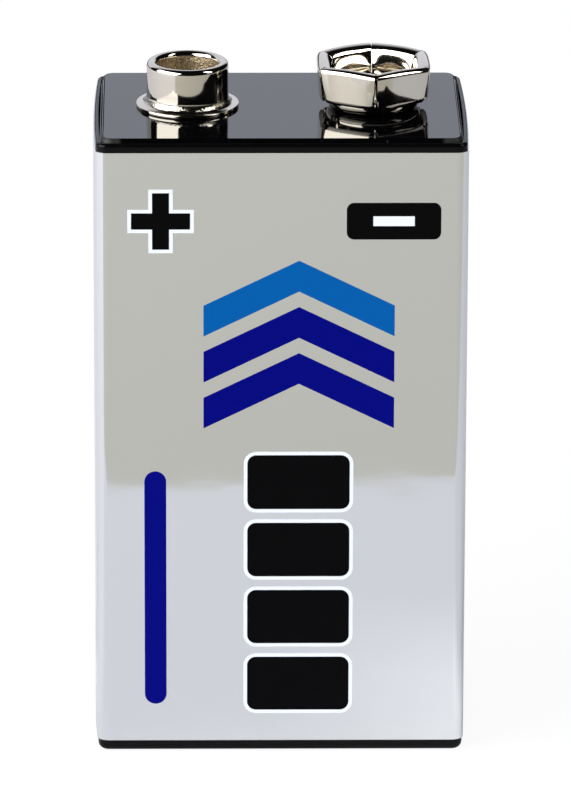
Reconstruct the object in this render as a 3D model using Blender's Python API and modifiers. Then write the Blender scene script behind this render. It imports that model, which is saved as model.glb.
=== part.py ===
"""Nine volt snap battery, standing upright.

Metres, +Z up. The origin is the centre of the standing face, the broad front
looks along -Y, the positive stud is at -X and the negative socket at +X.
A film label wraps a black steel can, whose two ends are turned over a moulded
top cover and a base plate. Three sealed flat cells stand inside, in series.
"""

import math

import bmesh
import bpy
from mathutils import Vector

# Whole battery, measured over the label
WIDTH = 0.0253
DEPTH = 0.0169
BODY_HEIGHT = 0.04413

# Gap between pieces that touch, and round a shank in its hole
FIT = 0.00002
HOLE_FIT = 0.00005

# Film label
LABEL_THICKNESS = 0.00008
LABEL_TOP_DROP = 0.00087
LABEL_BOTTOM_RISE = 0.00084
LABEL_OVERLAP = 0.0030
LABEL_STEP_LENGTH = 0.0002

# Steel can with a turned lip at each end
CAN_SHEET = 0.00020
CAN_CORNER = 0.00070
TOP_BEND = 0.00025
TOP_LIP = 0.00028
BOTTOM_BEND = 0.00050
BOTTOM_LIP = 0.00060
# How far the can and the label round it swell at the middle of the short sides
SIDE_SWELL = 0.00018

# Moulded top cover
PLATEAU_RISE = 0.00028
PLATEAU_CORNER = 0.00078
PLATEAU_CHAMFER = 0.00020
COVER_FLANGE = 0.00117
COVER_WALL = 0.00110
COVER_RIM = 0.00140
COVER_RIB = 0.00120

# Base plate and the foam on it
BASE_PLATE = 0.00100
FOAM_THICKNESS = 0.00070
FOAM_MARGIN = 0.0010

# Both snap terminals
SNAP_SPACING = 0.0127
SNAP_SHEET = 0.00026
HOLE_RADIUS = 0.00090

# Positive stud
STUD_HEIGHT = 0.00320
STUD_FLANGE = 0.00352
STUD_NECK = 0.00278
STUD_BARREL = 0.00283
STUD_OPENING = 0.00210
STUD_NECK_TOP = 0.00125
STUD_BARREL_START = 0.00230
STUD_FILLET = 0.00035
STUD_FLOOR_FILLET = 0.00025
STUD_EDGE = 0.00005

# Negative socket: radii of its flats, measured to the outer side of the sheet
SOCKET_HEIGHT = 0.00336
SOCKET_FLAT = 0.00379
SOCKET_CUP = 0.00308
SOCKET_GRIP = 0.00267
SOCKET_MOUTH = 0.00310
SOCKET_SKIRT_RISE = 0.00087
# Below zero: the skirt leans in towards its hem
SOCKET_SKIRT_FLARE = -0.00006
SOCKET_HEM = 0.00022
SOCKET_HEM_TURN = 0.00007
SOCKET_CUP_HEIGHT = 0.00085
SOCKET_GRIP_HEIGHT = 0.00175
SOCKET_ROLL = 0.00018
SOCKET_GRIP_BEND = 0.00040
SOCKET_CUP_FILLET = 0.00040
PETALS = 6
# The slits open from the crest down to the hem
SLIT_TOP = 0.00018
SLIT_HEM = 0.00034
# Share of the way from round to six-sided at the grip
GRIP_HEX_SHARE = 0.35
# How far a petal's corner turns in, as a share of its radius, and how late it starts
CORNER_TURN_TOP = 0.020
CORNER_TURN_HEM = 0.095
CORNER_TURN_POWER = 4

# Rivets
RIVET_HEAD = 0.00150
RIVET_HEAD_HEIGHT = 0.00045
RIVET_DIMPLE = 0.00055
RIVET_DIMPLE_DEPTH = 0.00018
RIVET_TAIL = 0.00140
RIVET_TAIL_HEIGHT = 0.00028

# Straps, tabs and the resettable fuse
STRIP_SHEET = 0.00015
STRIP_BEND = 0.00020
STRAP_WIDTH = 0.0040
STRAP_END = 0.0020
TAB_WIDTH = 0.0034
TAB_RISE = 0.00070
TAB_LAP = 0.0018
FUSE_THICKNESS = 0.00050
FUSE_LENGTH = 0.0034
FUSE_WIDTH = 0.0046

# Slotted board, sleeve, cells and the pads between them
BOARD_THICKNESS = 0.00045
BOARD_SLOT = 0.00060
SLEEVE_THICKNESS = 0.00015
CELL_HEADROOM = 0.00200
CELL_SIDE_GAP = 0.00030
CELL_EDGE = 0.00090
TERRACE_HEIGHT = 0.00240
TERRACE_THICKNESS = 0.00030
TERRACE_MARGIN = 0.00130
PAD_THICKNESS = 0.00030
PAD_MARGIN = 0.0020

# Facets
CORNER_STEPS = 5
BEND_STEPS = 4
SIDE_STEPS = 6
EDGE_STEPS = 2
CHAMFER_STEPS = 1
FILLET_STEPS = 3
RIM_STEPS = 8
SWELL_STEPS = 3
TURN_STEPS = 36
RIVET_STEPS = 24
# Where the sheet of a petal is divided, from its middle (0) to its slits (1)
PETAL_COLUMNS = (-1.0, -0.80, -0.45, 0.45, 0.80, 1.0)

# Half sizes and levels that several pieces share
CAN_X = WIDTH / 2 - LABEL_THICKNESS - FIT
CAN_Y = DEPTH / 2 - LABEL_THICKNESS - FIT
SHELL_X = CAN_X - CAN_SHEET - FIT
SHELL_Y = CAN_Y - CAN_SHEET - FIT
SHELL_CORNER = CAN_CORNER - CAN_SHEET - FIT
LIP_TOP = BODY_HEIGHT - PLATEAU_RISE
FLANGE_TOP = LIP_TOP - CAN_SHEET - FIT
FLANGE_BOTTOM = FLANGE_TOP - COVER_FLANGE
CEILING = BODY_HEIGHT - COVER_WALL
STRAP_MIDDLE = CEILING - FIT - STRIP_SHEET / 2
BOARD_TOP = FLANGE_BOTTOM - FIT
BOARD_BOTTOM = BOARD_TOP - BOARD_THICKNESS
BASE_TOP = CAN_SHEET + FIT + BASE_PLATE
SLEEVE_X = SHELL_X - SLEEVE_THICKNESS
SLEEVE_Y = SHELL_Y - SLEEVE_THICKNESS
CELL_BOTTOM = BASE_TOP + FIT + FOAM_THICKNESS + FIT
CELL_TOP = BOARD_BOTTOM - CELL_HEADROOM
CELL_BODY_TOP = CELL_TOP - TERRACE_HEIGHT
CELL_DEPTH = (2 * SLEEVE_Y - 6 * FIT - 2 * PAD_THICKNESS) / 3
CELL_PITCH = CELL_DEPTH + PAD_THICKNESS + 2 * FIT
CELL_X = SLEEVE_X - CELL_SIDE_GAP
STUD_X = -SNAP_SPACING / 2
SOCKET_X = SNAP_SPACING / 2


def clear_scene():
    for item in list(bpy.data.objects):
        bpy.data.objects.remove(item, do_unlink=True)


def new_collection(name):
    collection = bpy.data.collections.new(name)
    bpy.context.scene.collection.children.link(collection)
    return collection


def new_material(name, colour, metallic, roughness):
    material = bpy.data.materials.new(name)
    material.use_nodes = True
    shader = material.node_tree.nodes["Principled BSDF"]
    shader.inputs["Base Color"].default_value = (*colour, 1.0)
    shader.inputs["Metallic"].default_value = metallic
    shader.inputs["Roughness"].default_value = roughness
    material.diffuse_color = (*colour, 1.0)
    return material


def add_part(name, bm, finish, location=(0.0, 0.0, 0.0), smooth_angle=35.0):
    """Turn a bmesh into a named object of the battery with its material."""
    mesh = bpy.data.meshes.new(name)
    bm.to_mesh(mesh)
    bm.free()
    mesh.shade_smooth()
    mesh.set_sharp_from_angle(angle=math.radians(smooth_angle))
    part = bpy.data.objects.new(name, mesh)
    part.location = location
    part.data.materials.append(new_material(name, *finish))
    parts.objects.link(part)
    return part


def add_cutter(name, bm, location=(0.0, 0.0, 0.0)):
    mesh = bpy.data.meshes.new(name)
    bm.to_mesh(mesh)
    bm.free()
    cutter = bpy.data.objects.new(name, mesh)
    cutter.location = location
    cutter.hide_render = True
    cutter.display_type = "WIRE"
    cutters.objects.link(cutter)
    return cutter


def combine(part, other, operation):
    modifier = part.modifiers.new(other.name, "BOOLEAN")
    modifier.operation = operation
    modifier.solver = "EXACT"
    modifier.object = other


def thicken(part, thickness, offset):
    """Give an open surface the thickness of its sheet."""
    modifier = part.modifiers.new("sheet", "SOLIDIFY")
    modifier.thickness = thickness
    modifier.offset = offset
    modifier.use_even_offset = True


def turn(part, steps):
    """Spin a profile round the upright axis through the object's origin."""
    modifier = part.modifiers.new("turn", "SCREW")
    modifier.steps = steps
    modifier.render_steps = steps
    modifier.use_merge_vertices = True
    modifier.merge_threshold = 0.000001
    modifier.use_smooth_shade = True


def edges_at(bm, level):
    tiny = 0.000001
    return [e for e in bm.edges if all(abs(v.co.z - level) < tiny for v in e.verts)]


def block(half_x, half_y, bottom, top, centre=(0.0, 0.0)):
    """A plain box from its half sizes and its two levels."""
    bm = bmesh.new()
    bmesh.ops.create_cube(bm, size=1.0)
    bmesh.ops.scale(bm, vec=(2 * half_x, 2 * half_y, top - bottom), verts=bm.verts)
    bmesh.ops.translate(bm, vec=(*centre, (top + bottom) / 2), verts=bm.verts)
    return bm


def rounded_block(half_x, half_y, bottom, top, corner, centre=(0.0, 0.0)):
    """A box whose four upright edges are rounded."""
    bm = block(half_x, half_y, bottom, top, centre)
    flat = set(edges_at(bm, bottom)) | set(edges_at(bm, top))
    upright = [e for e in bm.edges if e not in flat]
    bmesh.ops.bevel(
        bm, geom=upright, offset=corner, segments=CORNER_STEPS, profile=0.5, affect="EDGES"
    )
    return bm


def round_rim(bm, level, radius, steps):
    """Round the edge all round one end of a block."""
    bmesh.ops.bevel(
        bm, geom=edges_at(bm, level), offset=radius, segments=steps, profile=0.5, affect="EDGES"
    )


def end_face(bm, side):
    """The level face at the top (side 1) or at the bottom (side -1)."""
    return max(bm.faces, key=lambda face: side * face.calc_center_median().z)


def fillet_path(corners, steps):
    """Points of a bent line: each corner is (x, y, radius), the ends stay sharp."""
    places = [Vector(corner[:2]) for corner in corners]
    points = [places[0]]
    for index in range(1, len(corners) - 1):
        radius = corners[index][2]
        into = (places[index] - places[index - 1]).normalized()
        away = (places[index + 1] - places[index]).normalized()
        bend = into.angle(away)
        cross = into.x * away.y - into.y * away.x
        side = Vector((-into.y, into.x)) * math.copysign(1.0, cross)
        start = places[index] - into * radius * math.tan(bend / 2)
        count = steps if radius > 0 else 0
        for step in range(count + 1):
            swept = bend * step / max(count, 1)
            points.append(
                start + into * radius * math.sin(swept) + side * radius * (1 - math.cos(swept))
            )
    points.append(places[-1])
    return points


def line_mesh(points, closed=False):
    """A chain of edges through the given places."""
    bm = bmesh.new()
    verts = [bm.verts.new(point) for point in points]
    for first, second in zip(verts, verts[1:]):
        bm.edges.new((first, second))
    if closed:
        bm.edges.new((verts[-1], verts[0]))
    return bm


def sheet(points, sweep):
    """The open surface that a chain of edges leaves when it moves by sweep."""
    bm = line_mesh(points)
    swept = bmesh.ops.extrude_edge_only(bm, edges=bm.edges[:])
    moved = [item for item in swept["geom"] if isinstance(item, bmesh.types.BMVert)]
    bmesh.ops.translate(bm, vec=sweep, verts=moved)
    return bm


def arc(centre, radius, start, end, steps):
    """Points of an arc in a turned profile, angles in degrees from +X."""
    angles = [math.radians(start + (end - start) * k / steps) for k in range(steps + 1)]
    return [
        (centre[0] + radius * math.cos(a), centre[1] + radius * math.sin(a)) for a in angles
    ]


def profile_mesh(profile, closed):
    return line_mesh([(radius, 0.0, height) for radius, height in profile], closed)


def rod(radius, bottom, top):
    bm = bmesh.new()
    bmesh.ops.create_cone(
        bm,
        cap_ends=True,
        segments=RIVET_STEPS,
        radius1=radius,
        radius2=radius,
        depth=top - bottom,
    )
    bmesh.ops.translate(bm, vec=(0.0, 0.0, (top + bottom) / 2), verts=bm.verts)
    return bm


# Finishes: colour (linear), metallic, roughness
BLACK_LACQUER = ((0.006, 0.006, 0.007), 0.0, 0.22)
SILVER_FILM = ((0.62, 0.63, 0.62), 0.9, 0.34)
BLACK_PLASTIC = ((0.008, 0.008, 0.009), 0.0, 0.20)
WARM_NICKEL = ((0.60, 0.54, 0.46), 1.0, 0.20)
BRIGHT_NICKEL = ((0.58, 0.57, 0.54), 1.0, 0.30)
BARE_NICKEL = ((0.52, 0.50, 0.47), 1.0, 0.35)
FUSE_YELLOW = ((0.62, 0.42, 0.05), 0.0, 0.50)
FIBRE_GREY = ((0.30, 0.28, 0.24), 0.0, 0.80)
CELL_FOIL = ((0.66, 0.67, 0.68), 0.9, 0.38)
WHITE_FOAM = ((0.80, 0.80, 0.78), 0.0, 0.90)
BLACK_FOAM = ((0.03, 0.03, 0.03), 0.0, 0.95)
CLEAR_FILM = ((0.75, 0.78, 0.80), 0.0, 0.30)


def side_levels():
    """Places from back to front at which the short sides are divided for their swell."""
    return [CAN_Y * (1 - 2 * step / SIDE_STEPS) for step in range(1, SIDE_STEPS)]


def swell_sides(bm):
    """Push the short sides outwards, most at their middle and nothing at their corners."""
    for vert in bm.verts:
        share = max(1 - (vert.co.y / CAN_Y) ** 2, 0.0)
        vert.co.x *= 1 + SIDE_SWELL / CAN_X * share


def make_can():
    """Drawn tube with its top and bottom ends turned inwards."""
    bm = rounded_block(CAN_X, CAN_Y, 0.0, LIP_TOP, CAN_CORNER)
    round_rim(bm, LIP_TOP, TOP_BEND, BEND_STEPS)
    round_rim(bm, 0.0, BOTTOM_BEND, BEND_STEPS)
    for side, lip in ((1, TOP_LIP - TOP_BEND), (-1, BOTTOM_LIP - BOTTOM_BEND)):
        mouth = end_face(bm, side)
        bmesh.ops.inset_region(bm, faces=[mouth], thickness=lip, use_even_offset=True)
        bmesh.ops.delete(bm, geom=[mouth], context="FACES")
    for level in side_levels():
        everything = bm.verts[:] + bm.edges[:] + bm.faces[:]
        bmesh.ops.bisect_plane(
            bm, geom=everything, plane_co=(0.0, level, 0.0), plane_no=(0.0, 1.0, 0.0)
        )
    swell_sides(bm)
    can = add_part("can", bm, BLACK_LACQUER)
    thicken(can, CAN_SHEET, -1.0)


def make_label():
    """Film wrapped once round the can, its outer end lapped over the start at the back."""
    half = LABEL_THICKNESS / 2
    x, y = WIDTH / 2 - half, DEPTH / 2 - half
    radius = CAN_CORNER + FIT + half
    lap_y = y + LABEL_THICKNESS + FIT
    start_x = LABEL_OVERLAP / 2
    levels = side_levels()
    corners = [(start_x, y, 0.0), (-x, y, radius)]
    corners += [(-x, level, 0.0) for level in levels]
    corners += [(-x, -y, radius), (x, -y, radius)]
    corners += [(x, -level, 0.0) for level in levels]
    corners += [
        (x, y, radius),
        (start_x + 2 * LABEL_STEP_LENGTH, y, 0.0),
        (start_x + LABEL_STEP_LENGTH, lap_y, 0.0),
        (-start_x, lap_y, 0.0),
    ]
    path = fillet_path(corners, CORNER_STEPS)
    top = BODY_HEIGHT - LABEL_TOP_DROP
    points = [(point.x, point.y, LABEL_BOTTOM_RISE) for point in path]
    bm = sheet(points, (0.0, 0.0, top - LABEL_BOTTOM_RISE))
    swell_sides(bm)
    label = add_part("label", bm, SILVER_FILM)
    thicken(label, LABEL_THICKNESS, 0.0)


def make_top_cover():
    """Plateau that stands through the can's mouth, on a flange held under its lip."""
    mouth_x = CAN_X - TOP_LIP - FIT
    mouth_y = CAN_Y - TOP_LIP - FIT
    flange = rounded_block(SHELL_X, SHELL_Y, FLANGE_BOTTOM, FLANGE_TOP, SHELL_CORNER)
    round_rim(flange, FLANGE_TOP, TOP_BEND - CAN_SHEET - FIT, BEND_STEPS)
    cover = add_part("top_cover", flange, BLACK_PLASTIC)
    raised = rounded_block(mouth_x, mouth_y, FLANGE_BOTTOM, BODY_HEIGHT, PLATEAU_CORNER)
    round_rim(raised, BODY_HEIGHT, PLATEAU_CHAMFER, CHAMFER_STEPS)
    combine(cover, add_cutter("plateau", raised), "UNION")
    # Two pockets under the plateau leave a rib between the terminals
    pocket_x = (mouth_x - COVER_RIM - COVER_RIB / 2) / 2
    pocket_y = mouth_y - COVER_RIM
    below = FLANGE_BOTTOM - COVER_FLANGE
    for side in (-1, 1):
        centre = (side * (COVER_RIB / 2 + pocket_x), 0.0)
        pocket = rounded_block(pocket_x, pocket_y, below, CEILING, CAN_CORNER / 2, centre)
        combine(cover, add_cutter(f"cover_pocket_{side}", pocket), "DIFFERENCE")
    for side, place in ((-1, STUD_X), (1, SOCKET_X)):
        hole = rod(HOLE_RADIUS, below, BODY_HEIGHT + COVER_WALL)
        cutter = add_cutter(f"cover_hole_{side}", hole, (place, 0.0, 0.0))
        combine(cover, cutter, "DIFFERENCE")


def make_base_plate():
    """Plate on the lower lip, with a boss that fills the lip's opening."""
    bottom = CAN_SHEET + FIT
    plate = rounded_block(SHELL_X, SHELL_Y, bottom, BASE_TOP, SHELL_CORNER)
    round_rim(plate, bottom, BOTTOM_BEND - CAN_SHEET - FIT, BEND_STEPS)
    boss_x = CAN_X - BOTTOM_LIP - FIT
    boss_y = CAN_Y - BOTTOM_LIP - FIT
    boss = rounded_block(boss_x, boss_y, 0.0, BASE_TOP, CAN_CORNER - BOTTOM_LIP)
    base = add_part("bottom_cover", plate, BLACK_PLASTIC)
    combine(base, add_cutter("base_boss", boss), "UNION")


def make_stud():
    """Positive stud: drawn, its rim rolled over, as one turned wall on a flange."""
    rim = (STUD_BARREL - STUD_OPENING) / 2
    rim_level = STUD_HEIGHT - rim
    middle = STUD_OPENING + rim
    profile = [(HOLE_RADIUS, FIT), (STUD_FLANGE - STUD_EDGE, FIT)]
    profile += [(STUD_FLANGE, FIT + STUD_EDGE), (STUD_FLANGE, SNAP_SHEET - STUD_EDGE)]
    profile += [(STUD_FLANGE - STUD_EDGE, SNAP_SHEET)]
    outer = (STUD_NECK + STUD_FILLET, SNAP_SHEET + STUD_FILLET)
    profile += arc(outer, STUD_FILLET, 270, 180, FILLET_STEPS)
    # The neck swells to the barrel along half a cosine wave
    for step in range(SWELL_STEPS + 1):
        done = step / SWELL_STEPS
        share = (1 - math.cos(math.pi * done)) / 2
        height = STUD_NECK_TOP + (STUD_BARREL_START - STUD_NECK_TOP) * done
        profile.append((STUD_NECK + (STUD_BARREL - STUD_NECK) * share, height))
    profile += arc((middle, rim_level), rim, 0, 180, RIM_STEPS)
    inner = (STUD_OPENING - STUD_FLOOR_FILLET, SNAP_SHEET + STUD_FLOOR_FILLET)
    profile += arc(inner, STUD_FLOOR_FILLET, 0, -90, FILLET_STEPS)
    profile += [(HOLE_RADIUS, SNAP_SHEET)]
    # Listed from the flange up, spun from the rim down, so the faces point outwards
    bm = profile_mesh(profile[::-1], closed=True)
    stud = add_part("positive_stud", bm, WARM_NICKEL, (STUD_X, 0.0, BODY_HEIGHT))
    turn(stud, TURN_STEPS)


def socket_rows():
    """Rows of the socket's sheet from its hole to its skirt: radius, height, hex share.

    The floor and the cup are round. Above the slits the sheet leans in to the grip,
    flares to the mouth, rolls over and comes down as a skirt that spreads a little,
    with its hem turned in.
    """
    half = SNAP_SHEET / 2
    floor = FIT + half
    crown = SOCKET_HEIGHT - half
    cup = fillet_path(
        [
            (HOLE_RADIUS, floor, 0.0),
            (SOCKET_CUP - half, floor, SOCKET_CUP_FILLET),
            (SOCKET_CUP - half, SOCKET_CUP_HEIGHT, 0.0),
        ],
        FILLET_STEPS,
    )
    petal = fillet_path(
        [
            (SOCKET_CUP - half, SOCKET_CUP_HEIGHT, 0.0),
            (SOCKET_GRIP + half, SOCKET_GRIP_HEIGHT, SOCKET_GRIP_BEND),
            (SOCKET_MOUTH + half, crown, SOCKET_ROLL),
            (SOCKET_FLAT - SOCKET_SKIRT_FLARE - half, crown, SOCKET_ROLL),
            (SOCKET_FLAT - half, SOCKET_SKIRT_RISE + SOCKET_HEM, SOCKET_HEM / 2),
            (SOCKET_FLAT - SOCKET_HEM_TURN - half, SOCKET_SKIRT_RISE, 0.0),
        ],
        FILLET_STEPS,
    )
    rows = [(point.x, point.y, 0.0) for point in cup]
    for point in petal[1:]:
        climb = (point.x - SOCKET_GRIP) / (SOCKET_MOUTH - SOCKET_GRIP)
        rows.append((point.x, point.y, min(max(climb, GRIP_HEX_SHARE), 1.0)))
    return rows, len(cup)


def from_crest(height, top, hem):
    """A value that changes evenly from the crest of the socket down to its hem."""
    drop = (SOCKET_HEIGHT - height) / (SOCKET_HEIGHT - SOCKET_SKIRT_RISE)
    return top + (hem - top) * min(max(drop, 0.0), 1.0)


def petal_angles(radius, height):
    """Azimuths across one petal, from slit to slit, measured from its middle."""
    half = math.pi / PETALS
    slit = from_crest(height, SLIT_TOP, SLIT_HEM)
    edge = half - math.asin(slit / 2 / (radius / math.cos(half)))
    return [edge * share for share in PETAL_COLUMNS]


def flat_radius(radius, height, angle, hex_share):
    """Distance from the axis: round at hex share 0, six flats with soft corners at 1."""
    half = math.pi / PETALS
    corner_turn = from_crest(height, CORNER_TURN_TOP, CORNER_TURN_HEM)
    turned = corner_turn * (abs(angle) / half) ** CORNER_TURN_POWER
    return radius * (1 + hex_share * (1 / math.cos(angle) - 1 - turned))


def make_socket():
    """Negative socket: one sheet drawn to a round cup, slit, and rolled out in six petals."""
    bm = bmesh.new()
    rows, cup_rows = socket_rows()
    rings = []
    for radius, height, hex_share in rows:
        ring = []
        for petal in range(PETALS):
            middle = 2 * math.pi * petal / PETALS
            for angle in petal_angles(radius, height):
                reach = flat_radius(radius, height, angle, hex_share)
                place = (reach * math.cos(middle + angle), reach * math.sin(middle + angle))
                ring.append(bm.verts.new((*place, height)))
        rings.append(ring)
    count = len(rings[0])
    per_petal = count // PETALS
    for level, (lower, upper) in enumerate(zip(rings, rings[1:])):
        for index in range(count):
            in_slit = index % per_petal == per_petal - 1
            if in_slit and level + 1 >= cup_rows:
                continue
            after = (index + 1) % count
            bm.faces.new((lower[index], lower[after], upper[after], upper[index]))
    bmesh.ops.recalc_face_normals(bm, faces=bm.faces)
    place = (SOCKET_X, 0.0, BODY_HEIGHT)
    socket = add_part("negative_socket", bm, WARM_NICKEL, place, smooth_angle=50.0)
    thicken(socket, SNAP_SHEET, 0.0)


def make_rivet(name, place_x):
    """Rivet from a terminal's floor, through cover and strap, to its spread tail."""
    shank = HOLE_RADIUS - HOLE_FIT
    head_bottom = SNAP_SHEET + 2 * FIT
    head_top = head_bottom + RIVET_HEAD_HEIGHT
    tail_top = -COVER_WALL - 2 * FIT - STRIP_SHEET
    tail_bottom = tail_top - RIVET_TAIL_HEIGHT
    edge = RIVET_HEAD_HEIGHT / 2
    profile = [(0.0, head_top - RIVET_DIMPLE_DEPTH), (RIVET_DIMPLE, head_top)]
    profile += arc((RIVET_HEAD - edge, head_top - edge), edge, 90, 0, FILLET_STEPS)
    profile += [(RIVET_HEAD, head_bottom), (shank, head_bottom), (shank, tail_top)]
    profile += [(RIVET_TAIL, tail_top), (RIVET_TAIL, tail_top - RIVET_TAIL_HEIGHT / 2)]
    profile += [(RIVET_TAIL - RIVET_TAIL_HEIGHT, tail_bottom), (0.0, tail_bottom)]
    bm = profile_mesh(profile, closed=False)
    rivet = add_part(name, bm, BRIGHT_NICKEL, (place_x, 0.0, BODY_HEIGHT))
    turn(rivet, RIVET_STEPS)


def make_strip(name, corners, place_x, width):
    """Folded metal strip that runs front to back: corners are (y, z, bend radius)."""
    path = fillet_path(corners, FILLET_STEPS)
    points = [(place_x - width / 2, point.x, point.y) for point in path]
    strip = add_part(name, sheet(points, (width, 0.0, 0.0)), BARE_NICKEL)
    thicken(strip, STRIP_SHEET, 0.0)
    return strip


def cut_rivet_hole(strap, place_x):
    hole = rod(HOLE_RADIUS, CEILING - COVER_WALL, BODY_HEIGHT)
    combine(strap, add_cutter(f"{strap.name}_hole", hole, (place_x, 0.0, 0.0)), "DIFFERENCE")


def make_straps():
    """The positive strap is flat. The negative one drops through the board to the fuse."""
    front = -CELL_PITCH - STRIP_BEND
    corners = [(front, STRAP_MIDDLE, 0.0), (STRAP_END, STRAP_MIDDLE, 0.0)]
    strap = make_strip("positive_strap", corners, STUD_X, STRAP_WIDTH)
    cut_rivet_hole(strap, STUD_X)
    fuse_top = leg_level(0) + STRIP_SHEET / 2 + FIT + FUSE_THICKNESS
    low = fuse_top + FIT + STRIP_SHEET / 2
    drop_y = CELL_PITCH - STRIP_BEND
    corners = [
        (-STRAP_END, STRAP_MIDDLE, 0.0),
        (drop_y, STRAP_MIDDLE, STRIP_BEND),
        (drop_y, low, STRIP_BEND),
        (drop_y - STRIP_BEND - FUSE_LENGTH, low, 0.0),
    ]
    strap = make_strip("negative_strap", corners, SOCKET_X, STRAP_WIDTH)
    cut_rivet_hole(strap, SOCKET_X)


def leg_level(layer):
    """Middle of a folded tab's level leg; layer 1 lies on layer 0."""
    return CELL_TOP + TAB_RISE + layer * (STRIP_SHEET + FIT)


def make_tabs():
    """Two tabs rise from each cell; joined pairs lap halfway between their cells."""
    foot = CELL_TOP + FIT
    pairs = (
        ("front_negative_tab", "middle_positive_tab", -CELL_PITCH, SOCKET_X),
        ("middle_negative_tab", "rear_positive_tab", 0.0, STUD_X),
    )
    for first, second, place_y, place_x in pairs:
        halfway = place_y + CELL_PITCH / 2
        for name, start, layer, side in (
            (first, place_y, 0, 1),
            (second, place_y + CELL_PITCH, 1, -1),
        ):
            corners = [
                (start, foot, 0.0),
                (start, leg_level(layer), STRIP_BEND),
                (halfway + side * TAB_LAP / 2, leg_level(layer), 0.0),
            ]
            make_strip(name, corners, place_x, TAB_WIDTH)
    under_strap = STRAP_MIDDLE - STRIP_SHEET - FIT
    corners = [
        (-CELL_PITCH, foot, 0.0),
        (-CELL_PITCH, under_strap, STRIP_BEND),
        (-RIVET_TAIL - TAB_RISE, under_strap, 0.0),
    ]
    make_strip("front_positive_tab", corners, STUD_X, TAB_WIDTH)
    corners = [
        (CELL_PITCH, foot, 0.0),
        (CELL_PITCH, leg_level(0), STRIP_BEND),
        (CELL_PITCH - 2 * STRIP_BEND - FUSE_LENGTH, leg_level(0), 0.0),
    ]
    make_strip("rear_negative_tab", corners, SOCKET_X, TAB_WIDTH)


def make_fuse():
    """Resettable fuse: a flat chip between the last tab and the negative strap."""
    bottom = leg_level(0) + STRIP_SHEET / 2 + FIT
    middle_y = CELL_PITCH - 2 * STRIP_BEND - FUSE_LENGTH / 2
    bm = block(
        FUSE_WIDTH / 2,
        FUSE_LENGTH / 2,
        bottom,
        bottom + FUSE_THICKNESS,
        (SOCKET_X, middle_y),
    )
    add_part("ptc_fuse", bm, FUSE_YELLOW)


def make_board():
    """Fibre board over the cells, slotted for the tab and the strap that pass it."""
    board = add_part(
        "insulating_board",
        rounded_block(SHELL_X, SHELL_Y, BOARD_BOTTOM, BOARD_TOP, SHELL_CORNER),
        FIBRE_GREY,
    )
    for side, place_x, place_y, width in (
        (-1, STUD_X, -CELL_PITCH, TAB_WIDTH),
        (1, SOCKET_X, CELL_PITCH - STRIP_BEND, STRAP_WIDTH),
    ):
        slot = block(
            width / 2 + BOARD_SLOT / 2,
            BOARD_SLOT / 2,
            BOARD_BOTTOM - BOARD_THICKNESS,
            BOARD_TOP + BOARD_THICKNESS,
            (place_x, place_y),
        )
        combine(board, add_cutter(f"board_slot_{side}", slot), "DIFFERENCE")


def make_sleeve():
    """Insulating film tube between the cells and the can."""
    bottom = BASE_TOP + FIT
    bm = rounded_block(SHELL_X, SHELL_Y, bottom, BOARD_BOTTOM - FIT, SHELL_CORNER)
    ends = [end_face(bm, 1), end_face(bm, -1)]
    bmesh.ops.delete(bm, geom=ends, context="FACES")
    sleeve = add_part("insulating_sleeve", bm, CLEAR_FILM)
    thicken(sleeve, SLEEVE_THICKNESS, -1.0)


def make_cell(name, place_y):
    """Sealed flat cell in foil, its welded seam standing up as a terrace for the tabs."""
    bm = rounded_block(CELL_X, CELL_DEPTH / 2, CELL_BOTTOM, CELL_BODY_TOP, CELL_EDGE)
    round_rim(bm, CELL_BODY_TOP, CELL_EDGE / 2, EDGE_STEPS)
    round_rim(bm, CELL_BOTTOM, CELL_EDGE / 2, EDGE_STEPS)
    cell = add_part(name, bm, CELL_FOIL, (0.0, place_y, 0.0))
    terrace = block(
        CELL_X - TERRACE_MARGIN, TERRACE_THICKNESS / 2, CELL_BODY_TOP - CELL_EDGE, CELL_TOP
    )
    cutter = add_cutter(f"{name}_terrace", terrace, (0.0, place_y, 0.0))
    combine(cell, cutter, "UNION")


def make_pads():
    """Thin foam between the cells, and a thicker one under them."""
    for name, place_y in (("front_pad", -CELL_PITCH / 2), ("rear_pad", CELL_PITCH / 2)):
        bm = block(
            CELL_X - PAD_MARGIN,
            PAD_THICKNESS / 2,
            CELL_BOTTOM + PAD_MARGIN,
            CELL_BODY_TOP - PAD_MARGIN,
            (0.0, place_y),
        )
        add_part(name, bm, WHITE_FOAM)
    bottom = BASE_TOP + FIT
    bm = block(
        SLEEVE_X - FOAM_MARGIN, SLEEVE_Y - FOAM_MARGIN, bottom, bottom + FOAM_THICKNESS
    )
    add_part("bottom_foam", bm, BLACK_FOAM)


clear_scene()
parts = new_collection("nine_volt_battery")
cutters = new_collection("cutters")

make_can()
make_label()
make_top_cover()
make_base_plate()
make_stud()
make_socket()
make_rivet("positive_rivet", STUD_X)
make_rivet("negative_rivet", SOCKET_X)
make_straps()
make_tabs()
make_fuse()
make_board()
make_sleeve()
for cell_name, cell_place in (("front", -CELL_PITCH), ("middle", 0.0), ("rear", CELL_PITCH)):
    make_cell(f"cell_{cell_name}", cell_place)
make_pads()
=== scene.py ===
# %% [markdown]
# # Nine volt battery: the looks
#
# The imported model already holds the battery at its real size: a black can with a film
# label, a moulded top, two snap terminals and everything inside. This script gives each
# surface its finish. Where the camera comes close it also makes a finer mesh of the same
# form. Lengths are in metres, like the frame, and MM turns millimetres into metres.

# %% Load the fixed frame
import math

import bmesh
import bpy
from mathutils import Matrix, Quaternion, Vector


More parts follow.
